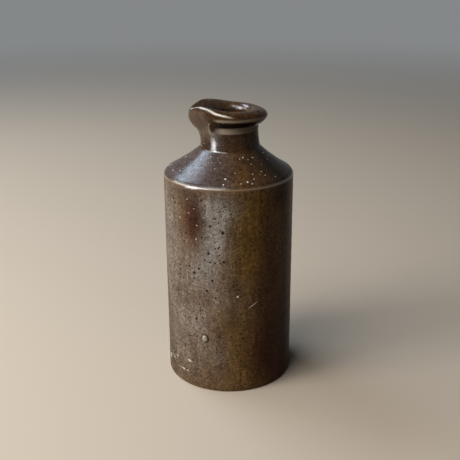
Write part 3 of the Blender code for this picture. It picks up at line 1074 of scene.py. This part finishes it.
def makeGlaze():
    material, tree, shader, coords = newMaterial("saltGlaze")
    layers = {}
    for name in paintLayers:
        layer = tree.nodes.new("ShaderNodeVertexColor")
        layer.layer_name = name
        channels = addNode("SeparateColor", dict(Color=layer.outputs["Color"]))
        layers[name] = [*channels, layer.outputs["Alpha"]]
    red, amber, bloomAndSheen, dark = layers["toneAndLight"]
    ridgeAndHighlight, drip, bare, scar = layers["glazeWearAndHighlight"]
    # spots: pits, blister glints, painted reflections and highlights, and painted shade
    pit, blisterGlint, paleReflection, paintedShade = layers["spotsAndPaintedLight"]
    height = addNode("SeparateXYZ", dict(Vector=coords))["Z"]
    shoulderMask = rangeNode(height, roll.z - 0.0010, roll.z - 0.0004)
    neckMask = rangeNode(height, neckSeam - 0.0006, neckSeam + 0.0010)
    bodyMask = minus(1.0, shoulderMask)
    cloud, mottle, run = useGroup(runsGroup, coords)
    peel, peelTone = useGroup(peelGroup, coords, Scale=1050.0)
    ragged = plus(scaled(cloud, 1.2, -0.10), scaled(mottle, 0.9), clamp=True)
    amberRuns = times(amber, ragged)
    # grey bloom on the body, partly a painted sheen
    bodyBloomAndSheen = times(times(bloomAndSheen, ragged), bodyMask)
    colour = coatOver(glaze["brown"], (
        (amberRuns, "amber"),
        (times(bodyBloomAndSheen, 0.85), "bloomAndSheen"),
        (times(red, scaled(ragged, 0.9, 0.35), clamp=True), "red"),
        (times(shoulderMask, 0.80), "shoulderBrownAndSheen"),
        (times(amberRuns, shoulderMask), "shoulderAmber"),
        (times(dark, ragged), "dark"),
        (times(neckMask, 0.90), "neckBrown"),
        (times(amber, neckMask), "lipAmber")))
    # light and dark clouds, runs and pebbles, a little darker between the pebbles of the neck
    broad = plus(scaled(mottle, 0.25), scaled(run, 0.40))
    shade = rangeNode(plus(scaled(cloud, 0.35), broad), 0.34, 0.66, 0.68, 1.34)
    wallShade = times(times(shade, scaled(peelTone, 0.60, 0.70)), minus(1.0, neckMask))
    neckShade = times(times(shade, scaled(peelTone, 0.70, 0.60)), neckMask)
    shade = plus(wallShade, neckShade)
    shadeColour = addNode("CombineColor", dict(Red=shade, Green=shade, Blue=shade))[0]
    colour = blendNode(1.0, colour, shadeColour, "MULTIPLY")
    # iron specks, and flecks of salt painted whitish as glints, each kept to patches
    iron = useGroup(spotsGroup, coords, Scale=560.0, Size=0.38, Density=0.62)[0]
    ironFine = useGroup(spotsGroup, coords, Scale=1100.0, Size=0.44, Density=0.40)[0]
    specks = larger(iron, scaled(ironFine, 0.8))
    specks = times(specks, rangeNode(noiseNode(coords, 55.0, 2.0), 0.36, 0.56, 0.45, 1.0))
    specks = times(specks, scaled(shoulderMask, -0.25, 1.0))
    salt = useGroup(spotsGroup, coords, Scale=700.0, Size=0.26, Density=0.10)[0]
    saltGlints = times(salt, plus(scaled(shoulderMask, 0.20, 0.28), scaled(neckMask, 0.22)))
    saltGlints = times(saltGlints, rangeNode(noiseNode(coords, 70.0, 1.0), 0.42, 0.60, 0.15, 1.0))
    # painted glints, reflections, highlights and shade are laid over here with the real specks and marks
    colour = coatOver(colour, (
        (specks, "pit"),
        (pit, "pit"),
        (scaled(paleReflection, 0.85), "paleReflection"),
        (scaled(paintedShade, 0.95), "pit"),
        (saltGlints, "paintedGlint"),
        (blisterGlint, "paintedGlint"),
        (scaled(drip, 0.8), "drip"),
        (mathNode("POWER", scaled(ridgeAndHighlight, 0.85), 4.0), "thinGlazeAndHighlight"),
        (scaled(scar, 0.90), "clay"),
        (bare, "clay")))
    rough = plus(scaled(shoulderMask, -0.17, 0.42), scaled(neckMask, -0.14))
    rough = plus(rough, rangeNode(cloud, 0.3, 0.7, -0.03, 0.04))
    for mask, less in ((drip, 0.28), (ridgeAndHighlight, 0.14), (times(red, bodyMask), 0.06)):
        rough = minus(rough, scaled(mask, less))
    rough = plus(rough, scaled(bare, 0.5), clamp=True)
    sleek = larger(ridgeAndHighlight, drip)
    relief = plus(minus(peel, scaled(specks, 1.2)), scaled(salt, 1.4))
    calm = plus(scaled(shoulderMask, -0.70, 1.0), scaled(neckMask, -0.25))
    calm = times(calm, scaled(sleek, -0.8, 1.0))
    bump = bumpNode(times(relief, calm), 0.80, 0.00012)
    gloss = times(layers["glazeGloss"][0], rangeNode(mottle, 0.35, 0.65, 0.6, 1.3))
    fill(shader, {
        "Base Color": colour, "Roughness": rough, "Normal": bump, "IOR": 1.45,
        "Specular IOR Level": 0.07, "Specular Tint": (1.0, 0.92, 0.84),
        "Coat Weight": larger(gloss, sleek), "Coat Roughness": 0.20, "Coat IOR": 1.8, "Coat Normal": bump})
    return material


clay = Spec(light=(0.300, 0.205, 0.125), dark=(0.235, 0.135, 0.075), grit=(0.070, 0.036, 0.022),
            stain=(0.095, 0.050, 0.026))

def makeClay():
    material, tree, shader, coords = newMaterial("bareClay")
    cloud = rangeNode(useGroup(runsGroup, coords)["Cloud"], 0.35, 0.65)
    grit = useGroup(spotsGroup, coords, Scale=700.0, Size=0.35, Density=0.25)[0]
    stain = rangeNode(noiseNode(coords, 48.0, 3.0), 0.52, 0.66)
    colour = blendNode(cloud, clay.light, clay.dark)
    colour = blendNode(times(grit, 0.8), colour, clay.grit)
    colour = blendNode(times(stain, 0.55), colour, clay.stain)
    peel = useGroup(peelGroup, coords, Scale=1400.0)[0]
    fill(shader, {"Base Color": colour, "Roughness": rangeNode(stain, 0.0, 1.0, 0.82, 0.50),
                  "Normal": bumpNode(minus(peel, grit), 0.6, 0.00012)})
    return material


corkTone = Spec(light=(0.430, 0.265, 0.140), dark=(0.275, 0.150, 0.072), grain=(0.170, 0.085, 0.040),
                pore=(0.060, 0.030, 0.016))

def makeCork():
    material, tree, shader, coords = newMaterial("oldCork")
    cloud = noiseNode(coords, 260.0, 5.0, 0.6)
    grain = noiseNode(stretchNode(coords, (1, 1, 2.6)), 900.0, 3.0)
    drawnOut = stretchNode(coords, (1, 1, 0.55))
    pores = useGroup(spotsGroup, drawnOut, Scale=520.0, Size=0.42, Density=0.42)[0]
    colour = blendNode(rangeNode(cloud, 0.35, 0.68), corkTone.light, corkTone.dark)
    colour = blendNode(rangeNode(grain, 0.56, 0.72, 0.0, 0.6), colour, corkTone.grain)
    colour = blendNode(times(pores, 0.85), colour, corkTone.pore)
    fill(shader, {"Base Color": colour, "Roughness": rangeNode(cloud, 0.3, 0.7, 0.78, 0.92),
                  "Normal": bumpNode(minus(times(grain, 0.8), pores), 0.7, 0.00020)})
    return material


saltGlaze = makeGlaze()
bareClay = makeClay()
oldCork = makeCork()
print("materials made")

dressed = (
    (bodyWall, saltGlaze, "body_wall", "body_glaze", "bottle"),
    (shoulder, saltGlaze, "shoulder", "body_glaze", "bottle"),
    (neck, saltGlaze, "neck", "neck_glaze", "bottle"),
    (pouringLip, saltGlaze, "pouring_lip", "neck_glaze", "bottle"),
    (floorDisc, bareClay, "floor_disc", "bare_clay", "bottle"),
    (corkStopper, oldCork, "cork_stopper", "cork", "cork"))
for piece, material, node, slot, body in dressed:
    piece.data.materials.clear()
    piece.data.materials.append(material)
    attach(piece, body)
    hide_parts(node)

# plain floor that fades into a grey backdrop; the backdrop is seen but sheds no light
stage = Spec(size=6.0, floor=(0.39, 0.31, 0.235), backdrop=(0.235, 0.245, 0.250), fadeFrom=0.45, fadeTo=1.60)


def seenOnly(tree):
    path = tree.nodes.new("ShaderNodeLightPath").outputs
    return larger(larger(path["Is Camera Ray"], path["Is Glossy Ray"]), path["Is Transmission Ray"])


deselect()
bpy.ops.mesh.primitive_plane_add(size=stage.size, location=(0, 0, 0))
ground = bpy.context.object
ground.name = "ground"
groundMaterial, tree, shader, coords = newMaterial("paleGround")
fill(shader, {"Base Color": stage.floor, "Roughness": 0.85, "Specular IOR Level": 0.2})
glow = tree.nodes.new("ShaderNodeEmission")
fill(glow, dict(Color=stage.backdrop))
far = addNode("VectorMath", {0: coords}, operation="LENGTH")["Value"]
faded = times(rangeNode(far, stage.fadeFrom, stage.fadeTo), seenOnly(tree))
fade = addNode("MixShader", {0: faded, 1: shader.outputs[0], 2: glow.outputs[0]})[0]
fill(tree.nodes["Material Output"], dict(Surface=fade))
ground.data.materials.append(groundMaterial)

# a tall soft window and a long one on the left, two soft panels above, and a dim room
lamps = dict(
    window=Spec(place=(-0.68, -0.30, 0.40), size=(0.30, 0.78), power=6.8, colour=(0.95, 0.98, 1.0)),
    longWindow=Spec(place=(-0.72, -0.19, 0.56), size=(1.30, 0.26), power=7.8, colour=(0.92, 0.97, 1.0)),
    skylight=Spec(place=(-0.63, 0.53, 1.00), size=(0.66, 0.56), power=9.5, colour=(0.64, 0.81, 1.0)),
    overhead=Spec(place=(-0.40, -0.56, 1.00), size=(0.60, 0.60), power=6.5, colour=(0.95, 0.98, 1.0)))
room = Spec(target=(0, 0, 0.10), colour=(0.037, 0.041, 0.046))


def softBox(name, given):
    data = bpy.data.lights.new(name, "AREA")
    data.shape = "ELLIPSE" if name == "skylight" else "RECTANGLE"
    data.size, data.size_y = given.size
    data.energy = given.power
    data.color = given.colour
    lamp = bpy.data.objects.new(name, data)
    bpy.context.scene.collection.objects.link(lamp)
    lamp.location = given.place
    lamp.rotation_euler = (Vector(room.target) - lamp.location).to_track_quat("-Z", "Y").to_euler()


for name, given in lamps.items():
    softBox(name, given)
world = bpy.data.worlds.new("dimRoom")
world.use_nodes = True
tree = world.node_tree
roomColour = blendNode(seenOnly(tree), room.colour, stage.backdrop)
fill(tree.nodes["Background"], dict(Color=roomColour, Strength=1.0))
bpy.context.scene.world = world

# camera as the picture was taken
view = Spec(lens=61.36, sensor=36.0, place=(0.000616, -0.40796, 0.23592),
            tilt=math.radians(69.362), roll=math.radians(-0.291))
cameraData = bpy.data.cameras.new("pictureCamera")
cameraData.lens = view.lens
cameraData.sensor_width = view.sensor
cameraData.clip_start = 0.01
camera = bpy.data.objects.new("pictureCamera", cameraData)
bpy.context.scene.collection.objects.link(camera)
camera.matrix_world = (Matrix.Translation(view.place) @ Matrix.Rotation(view.tilt, 4, "X")
                       @ Matrix.Rotation(view.roll, 4, "Z"))
bpy.context.scene.camera = camera
bpy.context.scene.view_settings.view_transform = "Standard"
print("stage, light and camera set")
